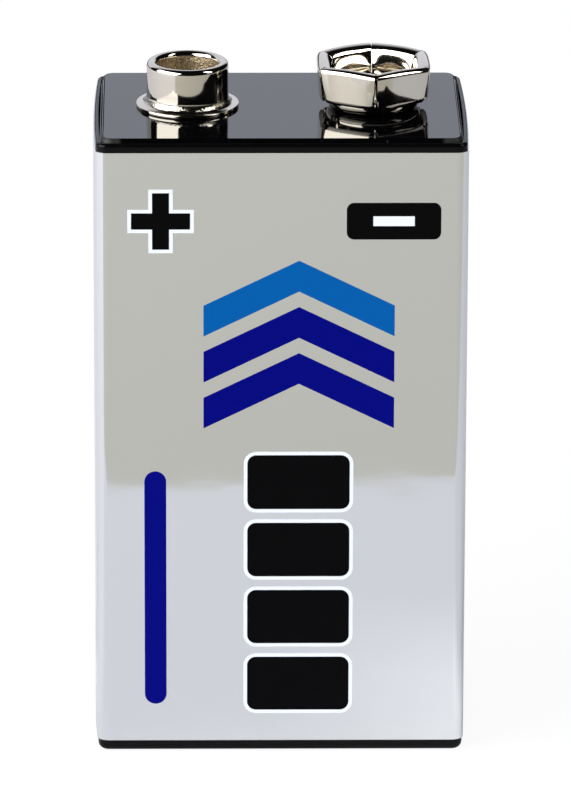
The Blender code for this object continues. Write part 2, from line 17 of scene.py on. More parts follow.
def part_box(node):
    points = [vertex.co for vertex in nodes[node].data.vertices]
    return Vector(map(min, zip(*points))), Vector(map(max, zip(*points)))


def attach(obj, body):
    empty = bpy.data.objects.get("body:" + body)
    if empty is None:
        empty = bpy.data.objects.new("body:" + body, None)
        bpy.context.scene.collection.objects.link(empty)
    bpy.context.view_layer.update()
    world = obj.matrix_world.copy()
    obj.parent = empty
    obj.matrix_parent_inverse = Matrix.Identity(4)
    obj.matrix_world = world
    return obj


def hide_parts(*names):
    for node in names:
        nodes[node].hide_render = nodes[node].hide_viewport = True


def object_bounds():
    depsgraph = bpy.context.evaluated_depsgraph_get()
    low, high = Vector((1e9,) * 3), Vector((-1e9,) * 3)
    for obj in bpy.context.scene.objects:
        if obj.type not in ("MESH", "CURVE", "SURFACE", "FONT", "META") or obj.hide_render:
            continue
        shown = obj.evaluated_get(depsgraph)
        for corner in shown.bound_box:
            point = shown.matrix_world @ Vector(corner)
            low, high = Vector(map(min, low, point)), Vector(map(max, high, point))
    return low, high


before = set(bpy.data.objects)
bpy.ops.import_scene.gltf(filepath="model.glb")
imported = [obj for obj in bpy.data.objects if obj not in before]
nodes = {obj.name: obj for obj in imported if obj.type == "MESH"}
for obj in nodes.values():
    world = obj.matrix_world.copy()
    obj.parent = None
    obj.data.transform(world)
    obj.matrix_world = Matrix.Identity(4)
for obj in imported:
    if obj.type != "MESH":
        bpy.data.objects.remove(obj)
scene = bpy.context.scene
cad_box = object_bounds()
MM = 0.001
print("frame:", len(nodes), "nodes,", [round(v / MM, 2) for v in cad_box[1] - cad_box[0]], "mm")

# %% [markdown]
# ## Camera
#
# The photo is taken from far away with a long lens, so the upright edges stay almost
# parallel. The camera was placed by fitting the edges of the body and the centres of the
# two snaps: it looks down by 19 degrees from just left of the middle.

# %% Place the camera
TARGET = Vector((0.417, 0.0, 22.81)) * MM
CAMERA_DISTANCE = 542.3 * MM
CAMERA_AZIMUTH = -0.851
CAMERA_ELEVATION = 18.756
CAMERA_ROLL = math.radians(0.184)
LENS = 352.1
SENSOR = 36.0


def direction(azimuth, elevation):
    """Unit vector away from the battery, in degrees round from the front and upwards."""
    turn, rise = math.radians(azimuth), math.radians(elevation)
    level = math.cos(rise)
    return Vector((math.sin(turn) * level, -math.cos(turn) * level, math.sin(rise)))


towards_camera = direction(CAMERA_AZIMUTH, CAMERA_ELEVATION)
lens_data = bpy.data.cameras.new("camera")
lens_data.lens = LENS
lens_data.sensor_width = SENSOR
lens_data.clip_start = 10 * MM
camera = bpy.data.objects.new("camera", lens_data)
camera.location = TARGET + CAMERA_DISTANCE * towards_camera
camera.rotation_mode = "QUATERNION"
camera.rotation_quaternion = (-towards_camera).to_track_quat("-Z", "Y") @ Quaternion(
    (0.0, 0.0, 1.0), CAMERA_ROLL
)
scene.collection.objects.link(camera)
scene.camera = camera
scene.view_settings.view_transform = "Standard"
print("camera:", [round(v / MM, 1) for v in camera.location], "mm")

# %% [markdown]
# ## Small helpers for materials
#
# Colours are written as the sRGB hex values that a colour picker shows, and one function
# turns them into the linear values that Blender works with. One more function adds a
# node, fills its sockets and links them, so a material reads as a short list.


# %% Colour and node helpers
def linear(hex_code):
    """Linear RGBA of an sRGB colour written as six hex digits."""
    channels = [int(hex_code[i : i + 2], 16) / 255 for i in (0, 2, 4)]
    bent = [c / 12.92 if c <= 0.04045 else ((c + 0.055) / 1.055) ** 2.4 for c in channels]
    return (*bent, 1.0)


def add_node(tree, kind, inputs=None, **settings):
    """Add a node. An input is a plain value, or another node's output to link."""
    node = tree.nodes.new(kind)
    for name, value in settings.items():
        setattr(node, name, value)
    for socket, value in (inputs or {}).items():
        if isinstance(value, bpy.types.NodeSocket):
            tree.links.new(value, node.inputs[socket])
        else:
            node.inputs[socket].default_value = value
    return node


def new_material(name, colour, metallic=0.0, roughness=0.5, gloss=0.5):
    """A Principled material with its constant values set on the shader itself."""
    material = bpy.data.materials.new(name)
    material.use_nodes = True
    shader = material.node_tree.nodes["Principled BSDF"]
    shader.inputs["Base Color"].default_value = linear(colour)
    shader.inputs["Metallic"].default_value = metallic
    shader.inputs["Roughness"].default_value = roughness
    shader.inputs["Specular IOR Level"].default_value = gloss
    return material, material.node_tree, shader


def object_noise(tree, size, detail=2.0, stretch=(1.0, 1.0, 1.0)):
    """Noise on Object coordinates, its features about size metres across."""
    place = add_node(tree, "ShaderNodeTexCoord").outputs["Object"]
    scaled = add_node(tree, "ShaderNodeMapping", {"Vector": place, "Scale": stretch})
    inputs = {"Vector": scaled.outputs["Vector"], "Scale": 1 / size, "Detail": detail}
    return add_node(tree, "ShaderNodeTexNoise", inputs).outputs["Fac"]


def ranged(tree, value, low, high, start=0.3, end=0.7):
    """Spread a noise value over the range from low to high."""
    inputs = {"Value": value, "From Min": start, "From Max": end, "To Min": low, "To Max": high}
    return add_node(tree, "ShaderNodeMapRange", inputs).outputs["Result"]


def blended(tree, factor, first, second):
    """A colour between two others, each a hex code or another node's output."""
    mix = add_node(tree, "ShaderNodeMix", data_type="RGBA")
    for name, value in {"Factor": factor, "A": first, "B": second}.items():
        socket = next(s for s in mix.inputs if s.name == name and s.enabled)
        if isinstance(value, bpy.types.NodeSocket):
            tree.links.new(value, socket)
        else:
            socket.default_value = linear(value) if isinstance(value, str) else value
    return next(s for s in mix.outputs if s.enabled)


def computed(tree, operation, first, second=0.0):
    """The result of one step of arithmetic."""
    inputs = {0: first, 1: second}
    return add_node(tree, "ShaderNodeMath", inputs, operation=operation).outputs["Value"]


def axes(tree, vector):
    """The outputs X, Y and Z of a vector."""
    return add_node(tree, "ShaderNodeSeparateXYZ", {"Vector": vector}).outputs


def bump(tree, shader, height, depth, after=None):
    """Raise the surface by depth metres where height is one."""
    inputs = {"Height": height, "Distance": depth}
    if after is not None:
        inputs["Normal"] = after
    normal = add_node(tree, "ShaderNodeBump", inputs).outputs["Normal"]
    tree.links.new(normal, shader.inputs["Normal"])
    return normal


print("helpers ready")

# %% [markdown]
# ## Floor, backdrop and light
#
# A shiny part shows its studio more than its own colour, so the studio is built first.
# The floor is pale card, with a painted pool of light close by on the right, and greyer
# beyond that. Past its front edge the table is duller. On the left the card is painted
# lighter past a slanted edge, as painted light from the soft box, and black cloth lies far
# behind. The label mirrors card and table, which gives it its light lower half and its
# duller upper half, and the socket's petals mirror the tones beside them.
#
# A white backdrop stands behind, a large soft box on the left and a narrow upright lamp
# on the right, and the room in front is dark. The lamps give a plain level of light, and
# the white that the camera sees is added for camera rays alone.

# %% Make the floor
CORNER_SIGNS = ((-1, -1), (1, -1), (1, 1), (-1, 1))
FLOOR_HALF = 1500 * MM
FLOOR_DROP = 0.02 * MM
# Edges between the tones, and half the width of each soft change
CARD_EDGE = -64.5 * MM
CARD_EDGE_BLUR = 1.2 * MM
LEFT_EDGE = -15 * MM
LEFT_SLANT = 0.64
LEFT_BLUR = 6 * MM
RIGHT_EDGE = 26 * MM
RIGHT_BLUR = 6 * MM
NEAR_EDGE = 8 * MM
NEAR_FRONT = -32 * MM
NEAR_BLUR = 9 * MM
DARK_BEHIND = 500 * MM
DARK_BLUR = 100 * MM
CARD_COLOUR = "CCCDD2"
# Painted light: the card is lighter on the left, nearer the soft box
LEFT_PAINTED_LIGHT = "D7D7DB"
# Painted light: a lighter pool of card close by on the right
NEAR_PAINTED_LIGHT = "E3E4E8"
RIGHT_COLOUR = "C6C7CB"
TABLE_COLOUR = "B6B5AE"
CLOTH_COLOUR = "101012"
WHITE_TO_CAMERA = 0.92


def past(tree, value, edge, blur):
    """Zero before an edge, one past it, with a soft change between."""
    return ranged(tree, value, 0.0, 1.0, edge - blur, edge + blur)


def card_and_table():
    """Pale card near the battery and a duller table in front, nearly white to the camera."""
    material = bpy.data.materials.new("matt_paper_card")
    material.use_nodes = True
    tree = material.node_tree
    tree.nodes.clear()
    place = add_node(tree, "ShaderNodeTexCoord").outputs["Object"]
    parts = axes(tree, place)
    # Painted light: the card is lighter close by on the right, in front of the far right
    beside = past(tree, parts["X"], NEAR_EDGE, NEAR_BLUR)
    near = past(tree, parts["Y"], NEAR_FRONT, NEAR_BLUR)
    card = blended(tree, computed(tree, "MULTIPLY", beside, near), CARD_COLOUR, NEAR_PAINTED_LIGHT)
    card = blended(tree, past(tree, parts["X"], RIGHT_EDGE, RIGHT_BLUR), card, RIGHT_COLOUR)
    on_card = past(tree, parts["Y"], CARD_EDGE, CARD_EDGE_BLUR)
    colour = blended(tree, on_card, TABLE_COLOUR, card)
    # Painted light: lighter card on the left, past a slanted edge
    slanted = computed(tree, "MULTIPLY", parts["Y"], LEFT_SLANT)
    across = computed(tree, "SUBTRACT", parts["X"], slanted)
    colour = blended(tree, past(tree, across, LEFT_EDGE, LEFT_BLUR), LEFT_PAINTED_LIGHT, colour)
    behind = past(tree, parts["Y"], DARK_BEHIND, DARK_BLUR)
    colour = blended(tree, behind, colour, CLOTH_COLOUR)
    seen = add_node(tree, "ShaderNodeLightPath").outputs["Is Camera Ray"]
    tone = blended(tree, seen, colour, "FFFFFF")
    matt = add_node(tree, "ShaderNodeBsdfDiffuse", {"Color": tone})
    white = add_node(tree, "ShaderNodeEmission", {"Strength": 1.0})
    share = computed(tree, "MULTIPLY", seen, WHITE_TO_CAMERA)
    shaders = {0: share, 1: matt.outputs[0], 2: white.outputs[0]}
    both = add_node(tree, "ShaderNodeMixShader", shaders)
    add_node(tree, "ShaderNodeOutputMaterial", {"Surface": both.outputs[0]})
    return material


floor_mesh = bpy.data.meshes.new("floor")
corners = [(sx * FLOOR_HALF, sy * FLOOR_HALF, 0.0) for sx, sy in CORNER_SIGNS]
floor_mesh.from_pydata(corners, [], [(0, 1, 2, 3)])
floor_mesh.materials.append(card_and_table())
floor = bpy.data.objects.new("floor", floor_mesh)
floor.location.z = -FLOOR_DROP
scene.collection.objects.link(floor)
print("floor:", 2 * FLOOR_HALF, "m wide")

# %% Light the studio
BACKDROP_COLOUR = "ECF0FF"
# The backdrop in reflections: where its front, foot and top fade on a unit sphere, and
# slope and blur of its right end (30 degrees from straight behind) and left end (55)
BACKDROP_FRONT = (0.02, 0.25)
BACKDROP_FOOT = (0.0, 0.10)
BACKDROP_TOP = (0.60, 0.85)
BACKDROP_ENDS = ((-1.73, 0.39), (0.70, 0.10))
ROOM_LIGHT = 0.36
DARK_ROOM = 0.004
# Each lamp: azimuth and elevation in degrees, width and height in metres, radiance
LAMPS = {
    "soft_box": (-62.0, 27.0, 1.16, 0.75, 4.8),
    "side_lamp": (70.0, 38.0, 0.20, 0.50, 6.0),
}
LAMP_DISTANCE = 0.90


def studio_world():
    """White to the camera, a backdrop behind for reflections, even light for the rest."""
    world = bpy.data.worlds.new("studio")
    world.use_nodes = True
    tree = world.node_tree
    tree.nodes.clear()
    heading = add_node(tree, "ShaderNodeTexCoord").outputs["Generated"]
    parts = axes(tree, heading)
    behind = ranged(tree, parts["Y"], 0.0, 1.0, *BACKDROP_FRONT)
    for slope, blur in BACKDROP_ENDS:
        across = computed(tree, "MULTIPLY", parts["X"], slope)
        inside = computed(tree, "ADD", parts["Y"], across)
        behind = computed(tree, "MINIMUM", behind, ranged(tree, inside, 0.0, 1.0, 0.0, blur))
    low = ranged(tree, parts["Z"], 1.0, 0.0, *BACKDROP_TOP)
    raised = ranged(tree, parts["Z"], 0.0, 1.0, *BACKDROP_FOOT)
    backdrop = computed(tree, "MULTIPLY", behind, computed(tree, "MULTIPLY", low, raised))
    mirrored = ranged(tree, backdrop, DARK_ROOM, 1.0, 0.0, 1.0)
    rays = add_node(tree, "ShaderNodeLightPath").outputs
    sharp = computed(tree, "MAXIMUM", rays["Is Glossy Ray"], rays["Is Transmission Ray"])
    level = ranged(tree, sharp, ROOM_LIGHT, mirrored, 0.0, 1.0)
    whole = ranged(tree, rays["Is Camera Ray"], level, 1.0, 0.0, 1.0)
    tint = blended(tree, rays["Is Camera Ray"], BACKDROP_COLOUR, "FFFFFF")
    light = add_node(tree, "ShaderNodeBackground", {"Color": tint, "Strength": whole})
    add_node(tree, "ShaderNodeOutputWorld", {"Surface": light.outputs[0]})
    return world


def area_lamp(name, azimuth, elevation, width, height, radiance):
    """A rectangular lamp aimed at the battery, azimuth counted from the front."""
    data = bpy.data.lights.new(name, "AREA")
    data.shape = "RECTANGLE"
    data.size, data.size_y = width, height
    # The radiance of an area lamp is a quarter of its watts per square metre
    data.energy = 4 * radiance * width * height
    lamp = bpy.data.objects.new(name, data)
    outward = direction(azimuth, elevation)
    lamp.location = Vector((0.0, 0.0, cad_box[1].z)) + LAMP_DISTANCE * outward
    lamp.rotation_euler = (-outward).to_track_quat("-Z", "Y").to_euler()
    scene.collection.objects.link(lamp)


scene.world = studio_world()
for name, values in LAMPS.items():
    area_lamp(name, *values)

# %% [markdown]
# ## Outside finishes
#
# The label is polyester film with a thin layer of aluminium behind it, which gives an
# almost clear mirror. The film lies in faint ripples about five millimetres long, with
# finer and flatter ones in them, and they make the edge between its two tones wavy. The
# inks are printed on top.

# %% Film and inks
INK_GLOSS = 0.05
FILM_RIPPLE = 5 * MM
FILM_RIPPLE_DEPTH = 0.027 * MM
FINE_RIPPLE = 1.1 * MM
FINE_RIPPLE_DEPTH = 0.0022 * MM
FILM_HAZE = 9 * MM
INK_GRAIN = 0.12 * MM


def film_ripple(tree, shader):
    """The same ripples for the film and its inks: slow ones, then fine flat ones."""
    slow = object_noise(tree, FILM_RIPPLE, detail=1.0)
    fine = object_noise(tree, FINE_RIPPLE, detail=1.0, stretch=(0.35, 0.35, 1.0))
    bent = bump(tree, shader, slow, FILM_RIPPLE_DEPTH)
    bump(tree, shader, fine, FINE_RIPPLE_DEPTH, after=bent)


def metallised_film():
    material, tree, shader = new_material("metallised_polyester_film", "EBECEA", 1.0, 0.13)
    haze = object_noise(tree, FILM_HAZE, detail=3.0)
    tree.links.new(ranged(tree, haze, 0.035, 0.07), shader.inputs["Roughness"])
    film_ripple(tree, shader)
    return material


def film_ink(name, colour):
    """Printing ink: its own colour, with the faint gloss of the varnish over it."""
    material, tree, shader = new_material(name, colour, 0.0, 0.35, INK_GLOSS)
    grain = object_noise(tree, INK_GRAIN, detail=2.0)
    tree.links.new(ranged(tree, grain, 0.30, 0.42), shader.inputs["Roughness"])
    film_ripple(tree, shader)
    return material


film = metallised_film()
black_ink = film_ink("black_gravure_ink", "040405")
dark_blue_ink = film_ink("dark_blue_gravure_ink", "000473")
bright_blue_ink = film_ink("bright_blue_gravure_ink", "01579F")
pale_ink = film_ink("opaque_white_gravure_ink", "E6EBF2")
print("film and inks:", film.name, black_ink.name)

# %% [markdown]
# The can is steel with a black lacquer, sprayed and baked, so it has a slight orange
# peel. The top and the base are moulded in black ABS against polished steel. That
# leaves them smooth as glass, so dust shows on them, and their corners are rubbed dull.

# %% Black lacquer and moulded plastic
LACQUER_GLOSS = 0.14
PEEL_SIZE = 0.9 * MM
LACQUER_WEAR = 0.5 * MM
DUST_SIZE = 0.22 * MM
DUST_LEVEL = (0.78, 0.83)
SINK_SIZE = 4 * MM
CORNER_RUB = 0.50
CORNER_LEVEL = (0.90, 0.98)
CORNER_IN_X = 10.9 * MM
CORNER_IN_Y = 6.5 * MM
CORNER_BLUR = 0.2 * MM


def lacquered_steel():
    material, tree, shader = new_material(
        "black_lacquered_steel", "050506", 0.0, 0.16, LACQUER_GLOSS
    )
    bump(tree, shader, object_noise(tree, PEEL_SIZE, detail=1.0), depth=0.0015 * MM)
    wear = object_noise(tree, LACQUER_WEAR, detail=3.0, stretch=(1.0, 1.0, 0.3))
    tree.links.new(ranged(tree, wear, 0.12, 0.24), shader.inputs["Roughness"])
    return material


def gloss_plastic():
    material, tree, shader = new_material("black_moulded_abs", "030304", 0.0, 0.06)
    dust = object_noise(tree, DUST_SIZE, detail=0.0)
    speck = ranged(tree, dust, 0.0, 1.0, *DUST_LEVEL)
    tree.links.new(blended(tree, speck, "030304", "262628"), shader.inputs["Base Color"])
    polish = ranged(tree, speck, 0.05, 0.15, 0.0, 1.0)
    # The level faces near the corners are not rubbed
    facing = add_node(tree, "ShaderNodeNewGeometry").outputs["Normal"]
    upright = axes(tree, facing)["Z"]
    rubbed = ranged(tree, upright, CORNER_RUB, 0.0, *CORNER_LEVEL)
    place = add_node(tree, "ShaderNodeTexCoord").outputs["Object"]
    parts = axes(tree, place)
    for axis, inner in (("X", CORNER_IN_X), ("Y", CORNER_IN_Y)):
        outward = past(tree, computed(tree, "ABSOLUTE", parts[axis]), inner, CORNER_BLUR)
        rubbed = computed(tree, "MULTIPLY", rubbed, outward)
    tree.links.new(computed(tree, "ADD", polish, rubbed), shader.inputs["Roughness"])
    bump(tree, shader, object_noise(tree, SINK_SIZE, detail=0.0), depth=0.001 * MM)
    return material


lacquer = lacquered_steel()
plastic = gloss_plastic()
print("blacks:", lacquer.name, plastic.name)

# %% [markdown]
# The snaps are drawn from thin brass sheet and plated with bright nickel, which mirrors
# with a warm tone. Drawing stretches the sheet, so the mirror is slightly wavy. Inside
# the stud the tool has left the metal rough, and there the plating looks like fine sand.
# The ring that drew the stud has scraped its foot. The rivets are plated steel.

# %% Nickel
PLATE_WAVE = 1.6 * MM
PLATE_GRAIN = 0.20 * MM
SAND_GRAIN = 0.11 * MM
SCRAPE_SIZE = 0.12 * MM
RIVET_MARK = 0.25 * MM


def bright_nickel():
    material, tree, shader = new_material("bright_nickel_plate", "D6CFC2", 1.0, 0.07)
    wave = bump(tree, shader, object_noise(tree, PLATE_WAVE, detail=1.0), depth=0.006 * MM)
    bump(tree, shader, object_noise(tree, PLATE_GRAIN, detail=2.0), depth=0.0004 * MM, after=wave)
    return material


def sandy_nickel():
    material, tree, shader = new_material("rough_drawn_nickel", "A89878", 1.0, 0.42)
    grain = object_noise(tree, SAND_GRAIN, detail=2.0)
    tone = blended(tree, ranged(tree, grain, 0.0, 1.0), "806B4A", "DCCDAE")
    tree.links.new(tone, shader.inputs["Base Color"])
    bump(tree, shader, grain, depth=0.05 * MM)
    return material


def scuffed_nickel():
    """The foot of the stud, where the drawing ring has scraped the sheet."""
    material, tree, shader = new_material("scraped_nickel_plate", "CFC8BA", 1.0, 0.12)
    bump(tree, shader, object_noise(tree, SCRAPE_SIZE, detail=1.0), depth=0.030 * MM)
    return material


def rivet_nickel():
    material, tree, shader = new_material("nickel_plated_rivet_steel", "CFCBC1", 1.0, 0.24)
    mark = object_noise(tree, RIVET_MARK, detail=3.0, stretch=(1.0, 1.0, 4.0))
    tree.links.new(ranged(tree, mark, 0.18, 0.34), shader.inputs["Roughness"])
    bump(tree, shader, mark, depth=0.004 * MM)
    return material


nickel = bright_nickel()
sand = sandy_nickel()
scraped = scuffed_nickel()
rivet_metal = rivet_nickel()
print("metals:", nickel.name, sand.name, scraped.name, rivet_metal.name)

# %% [markdown]
# ## Small helpers for pieces
#
# Every new piece sits at the origin with its place in its mesh and rides on the one body.
# Apart from the print, it stands for one node of the frame. Modifiers work on a carrier,
# an object that goes once its mesh is made.

# %% Piece helpers
SMOOTH_ANGLE = math.radians(40.0)


def arc_points(centre, radius, start, end, steps):
    """Points of an arc in a plane, angles in degrees."""
    turns = [math.radians(start + (end - start) * k / steps) for k in range(steps + 1)]
    return [(centre[0] + radius * math.cos(t), centre[1] + radius * math.sin(t)) for t in turns]


def rounded_line(corners, steps, closed=False):
    """A bent line with rounded corners, each corner given as (x, y, radius)."""
    count = len(corners)
    points = []
    for index, (x, y, radius) in enumerate(corners):
        here = Vector((x, y))
        at_end = not closed and index in (0, count - 1)
        if at_end or radius == 0:
            points.append(here)
            continue
        into = (here - Vector(corners[index - 1][:2])).normalized()
        away = (Vector(corners[(index + 1) % count][:2]) - here).normalized()
        bend = into.angle(away)
        side = Vector((-into.y, into.x)) * math.copysign(1.0, into.x * away.y - into.y * away.x)
        start = here - into * radius * math.tan(bend / 2)
        for step in range(steps + 1):
            swept = bend * step / steps
            across = side * radius * (1 - math.cos(swept))
            points.append(start + into * radius * math.sin(swept) + across)
    return points


def new_piece(name, mesh, node, finishes=()):
    """Link a mesh as a piece that rides on the root body and stands for a CAD node."""
    piece = bpy.data.objects.new(name, mesh)
    scene.collection.objects.link(piece)
    for finish in finishes:
        mesh.materials.append(finish)
    if node is not None:
        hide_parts(node)
    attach(piece, "root")
    return piece


def mesh_of(work, name):
    """Write what bmesh has made to a new mesh."""
    mesh = bpy.data.meshes.new(name)
    work.to_mesh(mesh)
    work.free()
    return mesh


def carried(mesh):
    """An object that carries a mesh while modifiers work on it."""
    carrier = bpy.data.objects.new("carrier", mesh)
    scene.collection.objects.link(carrier)
    return carrier


def applied(carrier):
    """The plain mesh that the carrier's modifiers make. The carrier goes."""
    graph = bpy.context.evaluated_depsgraph_get()
    mesh = bpy.data.meshes.new_from_object(carrier.evaluated_get(graph), depsgraph=graph)
    carrier.modifiers.clear()
    bpy.data.objects.remove(carrier)
    return mesh


def smooth(mesh, angle=SMOOTH_ANGLE):
    """A copy that shades smooth round its bends, while its large faces stay level."""
    mesh.shade_smooth()
    mesh.set_sharp_from_angle(angle=angle)
    carrier = carried(mesh)
    weighted = carrier.modifiers.new("large_faces_first", "WEIGHTED_NORMAL")
    weighted.mode = "FACE_AREA"
    weighted.weight = 100
    weighted.keep_sharp = True
    return applied(carrier)


def closed_chain(name, points):
    """A closed line of edges only, for Geometry Nodes to sweep."""
    mesh = bpy.data.meshes.new(name)
    count = len(points)
    mesh.from_pydata(points, [(i, (i + 1) % count) for i in range(count)], [])
    return mesh


def spun(profile, steps, centre, level):
    """A closed ring surface: the closed profile (radius, height) turned round an axis."""
    mesh = bpy.data.meshes.new("spun")
    verts = []
    for step in range(steps):
        turn = 2 * math.pi * step / steps
        for radius, height in profile:
            place = (radius * math.cos(turn), radius * math.sin(turn), height)
            verts.append(Vector(place) + Vector((centre, 0.0, level)))
    count = len(profile)
    faces = []
    for step in range(steps):
        here, there = step * count, (step + 1) % steps * count
        for index in range(count):
            after = (index + 1) % count
            faces.append((here + index, there + index, there + after, here + after))
    mesh.from_pydata(verts, [], faces)
    return mesh


print("piece helpers ready")

# %% [markdown]
# ## Can
#
# The real can is a drawn tube whose two ends are turned inwards over the cover and the
# base plate: a bent section of sheet, swept round a rounded rectangle. The section is a
# chain of edges. The tree draws the rectangle, rounds its corners, sweeps the section
# along it and pushes the short sides out a little, because the cells press on them.

# %% Node tree that sweeps a section round a rectangle
CORNER_STEPS = 12


def tree_with(name, inputs):
    """A Geometry Nodes tree with a geometry in, a geometry out and named inputs."""
    tree = bpy.data.node_groups.new(name, "GeometryNodeTree")
    sockets = {}
    tree.interface.new_socket("Mesh", in_out="OUTPUT", socket_type="NodeSocketGeometry")
    tree.interface.new_socket("Source", in_out="INPUT", socket_type="NodeSocketGeometry")
    for label, kind in inputs.items():
        socket = tree.interface.new_socket(label, in_out="INPUT", socket_type=f"NodeSocket{kind}")
        sockets[label] = socket.identifier
    start = tree.nodes.new("NodeGroupInput").outputs
    return tree, start, sockets


def finish_tree(tree, geometry, finish):
    """Realize what the tree made and give it its material."""
    real = add_node(tree, "GeometryNodeRealizeInstances", {0: geometry})
    inputs = {"Geometry": real.outputs[0], "Material": finish}
    painted = add_node(tree, "GeometryNodeSetMaterial", inputs)
    add_node(tree, "NodeGroupOutput", {0: painted.outputs[0]})


def run_tree(mesh, tree, sockets, values):
    """Run a tree on a mesh and give back the plain mesh that it makes."""
    carrier = carried(mesh)
    modifier = carrier.modifiers.new("tree", "NODES")
    modifier.node_group = tree
    for label, value in values.items():
        modifier[sockets[label]] = value
    return applied(carrier)


def sweep_tree():
    lengths = ("Width", "Depth", "Corner", "Swell")
    kinds = {**{name: "Float" for name in lengths}, "Corner steps": "Int", "Side cuts": "Int"}
    tree, start, sockets = tree_with("sweep_round_rectangle", {**kinds, "Finish": "Material"})
    size = {"Width": start["Width"], "Height": start["Depth"]}
    path = add_node(tree, "GeometryNodeCurvePrimitiveQuadrilateral", size)
    rounding = {"Curve": path.outputs[0], "Count": start["Corner steps"], "Radius": start["Corner"]}
    rounded = add_node(tree, "GeometryNodeFilletCurve", rounding, mode="POLY")
    divided = {"Curve": rounded.outputs[0], "Cuts": start["Side cuts"]}
    path = add_node(tree, "GeometryNodeSubdivideCurve", divided)
    section = add_node(tree, "GeometryNodeMeshToCurve", {"Mesh": start["Source"]})
    curves = {"Curve": path.outputs[0], "Profile Curve": section.outputs[0]}
    swept = add_node(tree, "GeometryNodeCurveToMesh", curves)
    # Outward push: swell * (x / half width) * (1 - (y / half depth) squared)
    place = add_node(tree, "GeometryNodeInputPosition").outputs[0]
    parts = axes(tree, place)
    across = computed(tree, "DIVIDE", parts["Y"], computed(tree, "DIVIDE", start["Depth"], 2.0))
    fading = computed(tree, "SUBTRACT", 1.0, computed(tree, "POWER", across, 2.0))
    side = computed(tree, "DIVIDE", parts["X"], computed(tree, "DIVIDE", start["Width"], 2.0))
    push = computed(tree, "MULTIPLY", side, computed(tree, "MAXIMUM", fading, 0.0))
    push = computed(tree, "MULTIPLY", push, start["Swell"])
    offset = add_node(tree, "ShaderNodeCombineXYZ", {"X": push}).outputs[0]
    moved = {"Geometry": swept.outputs[0], "Offset": offset}
    swelled = add_node(tree, "GeometryNodeSetPosition", moved)
    finish_tree(tree, swelled.outputs[0], start["Finish"])
    return tree, sockets


sweep, sweep_sockets = sweep_tree()
print("tree:", sweep.name, list(sweep_sockets))

# %% Sweep the can
CAN_SHEET = 0.20 * MM
CAN_CORNER = 0.70 * MM
TOP_BEND = 0.25 * MM
TOP_LIP = 0.28 * MM
BOTTOM_BEND = 0.50 * MM
BOTTOM_LIP = 0.60 * MM
SIDE_SWELL = 0.18 * MM
SIDE_CUTS = 11
BEND_STEPS = 10

can_low, can_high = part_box("can")


def can_section():
    """The sheet cut through: how far in from the wall, and how high."""
    top = can_high.z
    middle_top = (TOP_BEND, top - TOP_BEND)
    middle_low = (BOTTOM_BEND, BOTTOM_BEND)
    inner_top, inner_low = TOP_BEND - CAN_SHEET, BOTTOM_BEND - CAN_SHEET
    section = [(BOTTOM_LIP, 0.0)]
    section += arc_points(middle_low, BOTTOM_BEND, 270, 180, BEND_STEPS)
    section += arc_points(middle_top, TOP_BEND, 180, 90, BEND_STEPS)
    section += [(TOP_LIP, top), (TOP_LIP, top - CAN_SHEET)]
    section += arc_points(middle_top, inner_top, 90, 180, BEND_STEPS)
    section += arc_points(middle_low, inner_low, 180, 270, BEND_STEPS)
    section += [(BOTTOM_LIP, CAN_SHEET)]
    # The sweep lays a section's x outwards and its y downwards
    return [(-inset, -height, 0.0) for inset, height in section]


can_size = {
    "Width": can_high.x - can_low.x - 2 * SIDE_SWELL,
    "Depth": can_high.y - can_low.y,
    "Corner": CAN_CORNER,
    "Swell": SIDE_SWELL,
    "Corner steps": CORNER_STEPS,
    "Side cuts": SIDE_CUTS,
    "Finish": lacquer,
}
can_line = closed_chain("section", can_section())
can_mesh = smooth(run_tree(can_line, sweep, sweep_sockets, can_size))
new_piece("black_can", can_mesh, "can")
print("can:", len(can_mesh.polygons), "faces")

# %% [markdown]
# ## Label
#
# The film is wrapped once round the can and its outer end lies over its start at the
# back. It is one long strip, so it is drawn as a bent line seen from above, raised to a
# band and given the film's thickness. It stands a hair inside the frame's box, and that
# hair is the room for the ink.

# %% Wrap the film
FILM_THICKNESS = 0.08 * MM
INK_ROOM = 0.012 * MM
LAP_LENGTH = 3.0 * MM
LAP_STEP = 0.2 * MM
LAP_GAP = 0.02 * MM

label_low, label_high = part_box("label")


def film_line():
    """The outer side of the film from above, from its start under the lap to its end."""
    x = label_high.x - INK_ROOM - SIDE_SWELL
    y = -label_low.y - INK_ROOM
    radius = CAN_CORNER + LAP_GAP + FILM_THICKNESS
    lap_y = y + FILM_THICKNESS + LAP_GAP
    start = LAP_LENGTH / 2
    can_y = can_high.y
    sides = [can_y * (1 - 2 * k / (SIDE_CUTS + 1)) for k in range(1, SIDE_CUTS + 1)]
    line = [(start, y, 0.0), (-x, y, radius)]
    line += [(-x, level, 0.0) for level in sides]
    line += [(-x, -y, radius), (x, -y, radius)]
    line += [(x, -level, 0.0) for level in sides]
    line += [(x, y, radius), (start + 2 * LAP_STEP, y, 0.0)]
    line += [(start + LAP_STEP, lap_y, 0.0), (-start, lap_y, 0.0)]
    points = rounded_line(line, CORNER_STEPS)
    for point in points:
        point.x += SIDE_SWELL * point.x / x * max(1 - (point.y / can_y) ** 2, 0.0)
    return points


def wrapped_film():
    work = bmesh.new()
    line = film_line()
    lower = [work.verts.new((p.x, p.y, label_low.z)) for p in line]
    upper = [work.verts.new((p.x, p.y, label_high.z)) for p in line]
    for a in range(len(line) - 1):
        work.faces.new((lower[a], lower[a + 1], upper[a + 1], upper[a]))
    carrier = carried(mesh_of(work, "film"))
    wall = carrier.modifiers.new("thickness", "SOLIDIFY")
    wall.thickness = FILM_THICKNESS
    wall.offset = -1.0
    wall.use_even_offset = True
    return applied(carrier)


